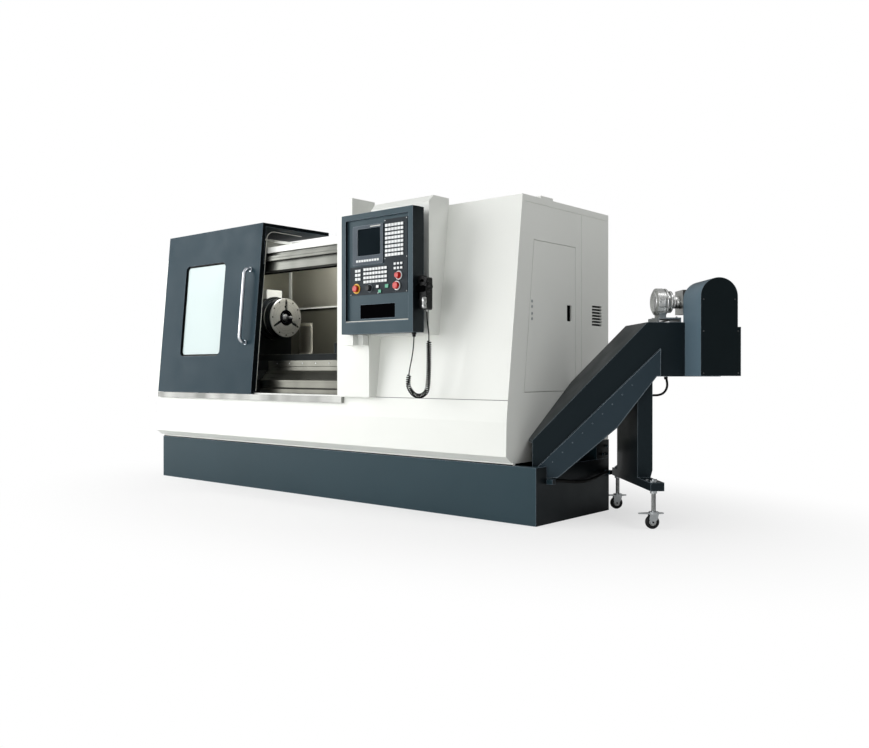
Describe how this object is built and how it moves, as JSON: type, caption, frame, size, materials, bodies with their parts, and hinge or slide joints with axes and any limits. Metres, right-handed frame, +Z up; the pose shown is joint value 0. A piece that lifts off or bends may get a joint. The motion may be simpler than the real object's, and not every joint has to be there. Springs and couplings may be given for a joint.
{
  "type": "cnc turning lathe",
  "caption": "Enclosed turning lathe with a sliding front door, swivelling control panel, chuck, turret, tailstock and an inclined chip conveyor on casters.",
  "frame": {"origin": "centre of the base tray's underside, on the floor", "axes": "+X along the machine towards the tailstock and conveyor end, +Y to the back, +Z up"},
  "size_m": [4.6427, 1.3819, 1.94],
  "materials": {
    "slate": "satin fine-textured slate blue",
    "graphite": "satin graphite",
    "white_paint": "satin fine-textured white",
    "machine_grey": "machined and painted casting",
    "steel": "ground steel",
    "stainless": "brushed sheet",
    "zinc_plate": "bright zinc plate",
    "red_plastic": "smooth red",
    "window_glass": "pale frosted pane",
    "black_plastic": "fine matt black",
    "grey_plastic": "matt grey",
    "white_keys": "matt white membrane",
    "black_rubber": "matt rubber",
    "wheel_rubber": "hard wheel tread"
  },
  "bodies": {
    "machine": {"base_tray": "slate", "coolant_tank": "slate", "bed": "machine_grey", "headstock": "graphite", "spindle_bearings": "steel", "front_skirt": "white_paint", "front_panel": "white_paint", "roof_panel": "white_paint", "rear_panel": "white_paint", "end_panel": "white_paint", "access_door": "white_paint", "left_cover": "white_paint", "back_wall": "machine_grey", "back_lining": "stainless", "splash_guard": "stainless", "sill_strip": "stainless", "upper_rail": "stainless", "closing_post": "white_paint", "panel_mount": "white_paint", "panel_bracket": "white_paint", "conveyor_housing": "slate", "conveyor_belt": "steel", "conveyor_cover": "slate", "motor_plate": "zinc_plate", "gear_motor": "machine_grey", "conveyor_leg": "slate", "coolant_hose": "black_rubber", "conveyor_cable": "black_rubber"},
    "door": {"door_panel": "slate", "door_seal": "black_rubber", "door_glass": "window_glass", "door_handle": "graphite", "door_shoes": "black_plastic"},
    "spindle_set": {"spindle": "steel", "chuck_body": "steel", "chuck_centre": "steel"},
    "jaw_a": {"chuck_jaw_1": "steel"},
    "jaw_b": {"chuck_jaw_2": "steel"},
    "jaw_c": {"chuck_jaw_3": "steel"},
    "screw": {"z_screw": "steel"},
    "carriage": {"saddle": "machine_grey"},
    "cross": {"cross_slide": "machine_grey"},
    "turret": {"turret_disc": "steel"},
    "tailstock_set": {"tailstock": "machine_grey"},
    "quill_set": {"quill": "steel"},
    "centre_set": {"live_centre": "steel"},
    "panel": {"panel_case": "slate", "panel_screen": "black_plastic", "panel_keys": "white_keys", "handset": "black_plastic", "handset_cord": "black_rubber"},
    "stop": {"stop_button": "red_plastic"},
    "cycle": {"cycle_stop": "red_plastic"},
    "feed": {"feed_knob": "grey_plastic"},
    "speed": {"speed_knob": "grey_plastic"},
    "shaft": {"conveyor_shaft": "steel"},
    "fork_near": {"caster_fork_1": "zinc_plate"},
    "fork_far": {"caster_fork_2": "zinc_plate"},
    "wheel_near": {"caster_wheel_1": "wheel_rubber"},
    "wheel_far": {"caster_wheel_2": "wheel_rubber"}
  },
  "joints": [
    {"name": "door_slide", "type": "slide", "parent": "machine", "child": "door", "axis": [1, 0, 0], "range_m": [0, 0.925]},
    {"name": "spindle_spin", "type": "hinge", "parent": "machine", "child": "spindle_set", "pos_m": [-0.75, -0.04, 1.25], "axis": [1, 0, 0], "continuous": true},
    {"name": "jaw_1_slide", "type": "slide", "parent": "spindle_set", "child": "jaw_a", "axis": [0, 0, 1], "range_m": [-0.004, 0.005]},
    {"name": "jaw_2_slide", "type": "slide", "parent": "spindle_set", "child": "jaw_b", "axis": [0, -0.866, -0.5], "range_m": [-0.004, 0.005]},
    {"name": "jaw_3_slide", "type": "slide", "parent": "spindle_set", "child": "jaw_c", "axis": [0, 0.866, -0.5], "range_m": [-0.004, 0.005]},
    {"name": "carriage_slide", "type": "slide", "parent": "machine", "child": "carriage", "axis": [1, 0, 0], "range_m": [-0.5, 0.08]},
    {"name": "cross_slide_y", "type": "slide", "parent": "carriage", "child": "cross", "axis": [0, 1, 0], "range_m": [-0.1, 0.06]},
    {"name": "turret_index", "type": "hinge", "parent": "cross", "child": "turret", "pos_m": [-0.05, 0.11, 1.3], "axis": [1, 0, 0], "continuous": true},
    {"name": "screw_spin", "type": "hinge", "parent": "machine", "child": "screw", "pos_m": [0, -0.04, 0.935], "axis": [1, 0, 0], "continuous": true},
    {"name": "tailstock_slide", "type": "slide", "parent": "machine", "child": "tailstock_set", "axis": [1, 0, 0], "range_m": [0, 0.35]},
    {"name": "quill_slide", "type": "slide", "parent": "tailstock_set", "child": "quill_set", "axis": [-1, 0, 0], "range_m": [0, 0.1]},
    {"name": "centre_spin", "type": "hinge", "parent": "quill_set", "child": "centre_set", "pos_m": [0.5, -0.04, 1.25], "axis": [1, 0, 0], "continuous": true},
    {"name": "panel_swivel", "type": "hinge", "parent": "machine", "child": "panel", "pos_m": [0.575, -0.555, 1.1], "axis": [0, 0, -1], "range_deg": [0, 75]},
    {"name": "stop_press", "type": "slide", "parent": "panel", "child": "stop", "axis": [0, 1, 0], "range_m": [0, 0.005], "stiffness_N_per_m": 1500},
    {"name": "cycle_stop_press", "type": "slide", "parent": "panel", "child": "cycle", "axis": [0, 1, 0], "range_m": [0, 0.005], "stiffness_N_per_m": 1200},
    {"name": "feed_turn", "type": "hinge", "parent": "panel", "child": "feed", "pos_m": [0.771, -0.612, 1.344], "axis": [0, -1, 0], "range_deg": [-140, 140]},
    {"name": "speed_turn", "type": "hinge", "parent": "panel", "child": "speed", "pos_m": [1.012, -0.612, 1.405], "axis": [0, -1, 0], "range_deg": [-140, 140]},
    {"name": "conveyor_spin", "type": "hinge", "parent": "machine", "child": "shaft", "pos_m": [2.3, 0.49785, 0.96], "axis": [-0.7071, 0.7071, 0], "continuous": true},
    {"name": "fork_near_swivel", "type": "hinge", "parent": "machine", "child": "fork_near", "pos_m": [2.3297, -0.02117, 0.2], "axis": [0, 0, 1], "continuous": true},
    {"name": "fork_far_swivel", "type": "hinge", "parent": "machine", "child": "fork_far", "pos_m": [1.83473, 0.47381, 0.2], "axis": [0, 0, 1], "continuous": true},
    {"name": "wheel_near_roll", "type": "hinge", "parent": "fork_near", "child": "wheel_near", "pos_m": [2.32405, -0.02683, 0.037], "axis": [-0.7071, 0.7071, 0], "continuous": true},
    {"name": "wheel_far_roll", "type": "hinge", "parent": "fork_far", "child": "wheel_far", "pos_m": [1.82907, 0.46815, 0.037], "axis": [-0.7071, 0.7071, 0], "continuous": true}
  ],
  "couplings": [
    {"joint": "jaw_2_slide", "follows": "jaw_1_slide", "ratio": 1},
    {"joint": "jaw_3_slide", "follows": "jaw_1_slide", "ratio": 1},
    {"joint": "screw_spin", "follows": "carriage_slide", "rad_per_m": 628.32}
  ]
}
